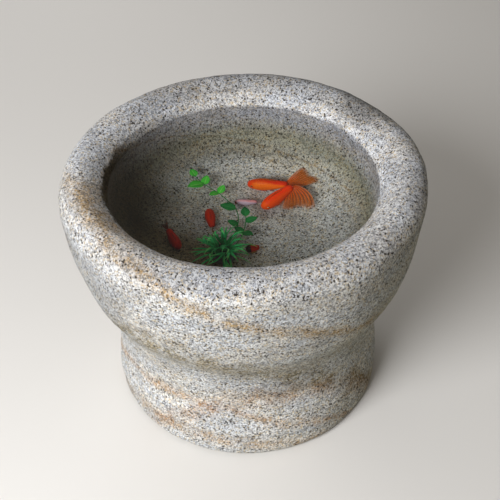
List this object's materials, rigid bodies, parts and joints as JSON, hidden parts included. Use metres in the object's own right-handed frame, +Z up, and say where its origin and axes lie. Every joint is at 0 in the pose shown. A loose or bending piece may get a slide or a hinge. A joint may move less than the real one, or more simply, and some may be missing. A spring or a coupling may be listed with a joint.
{
  "type": "stone trough planter",
  "caption": "Round carved granite trough with a thick rounded rim, a waisted foot and a deep basin, kept as a water garden with a small water plant and goldfish.",
  "frame": {"origin": "middle of the flat base, on the ground", "axes": "+Z up along the axis of the turned stone; +Y away from the viewer of the picture, +X to its right"},
  "size_m": [0.5, 0.5, 0.384],
  "materials": {
    "granite": "bush-hammered granite, matte, grainy, with rust-coloured veins",
    "lead_weight": "dull cast weight",
    "plant_stem": "green plant stem",
    "grass_blade": "soft green grass blades",
    "green_leaf": "soft light green leaves",
    "orange_fish_skin": "wet orange scales with thin fins",
    "red_fish_skin": "wet red-orange scales with thin fins",
    "white_fish_skin": "wet pinkish white scales",
    "dark_red_fish_skin": "wet dark red scales"
  },
  "bodies": {
    "trough": {"stone_trough": "granite"},
    "water_plant": {"plant_weight": "lead_weight", "plant_stem": "plant_stem", "grass_whorl_low": "grass_blade", "grass_whorl_middle": "grass_blade", "grass_whorl_top": "grass_blade", "leaf_sprig_long": "green_leaf", "leaf_sprig_short": "green_leaf"},
    "goldfish_orange": {"goldfish_orange": "orange_fish_skin"},
    "goldfish_red": {"goldfish_red": "red_fish_skin"},
    "goldfish_white": {"goldfish_white": "white_fish_skin"},
    "goldfish_middle": {"goldfish_middle": "dark_red_fish_skin"},
    "goldfish_left": {"goldfish_left": "dark_red_fish_skin"},
    "goldfish_small": {"goldfish_small": "dark_red_fish_skin"}
  },
  "joints": [
    {"name": "water_plant_lift", "type": "slide", "parent": "trough", "child": "water_plant", "axis": [0, 0, 1], "range_m": [0, 0.26]},
    {"name": "goldfish_orange_lift", "type": "slide", "parent": "trough", "child": "goldfish_orange", "axis": [0, 0, 1], "range_m": [0, 0.26]},
    {"name": "goldfish_red_lift", "type": "slide", "parent": "trough", "child": "goldfish_red", "axis": [0, 0, 1], "range_m": [0, 0.26]},
    {"name": "goldfish_white_lift", "type": "slide", "parent": "trough", "child": "goldfish_white", "axis": [0, 0, 1], "range_m": [0, 0.26]},
    {"name": "goldfish_middle_lift", "type": "slide", "parent": "trough", "child": "goldfish_middle", "axis": [0, 0, 1], "range_m": [0, 0.26]},
    {"name": "goldfish_left_lift", "type": "slide", "parent": "trough", "child": "goldfish_left", "axis": [0, 0, 1], "range_m": [0, 0.26]},
    {"name": "goldfish_small_lift", "type": "slide", "parent": "trough", "child": "goldfish_small", "axis": [0, 0, 1], "range_m": [0, 0.26]}
  ]
}
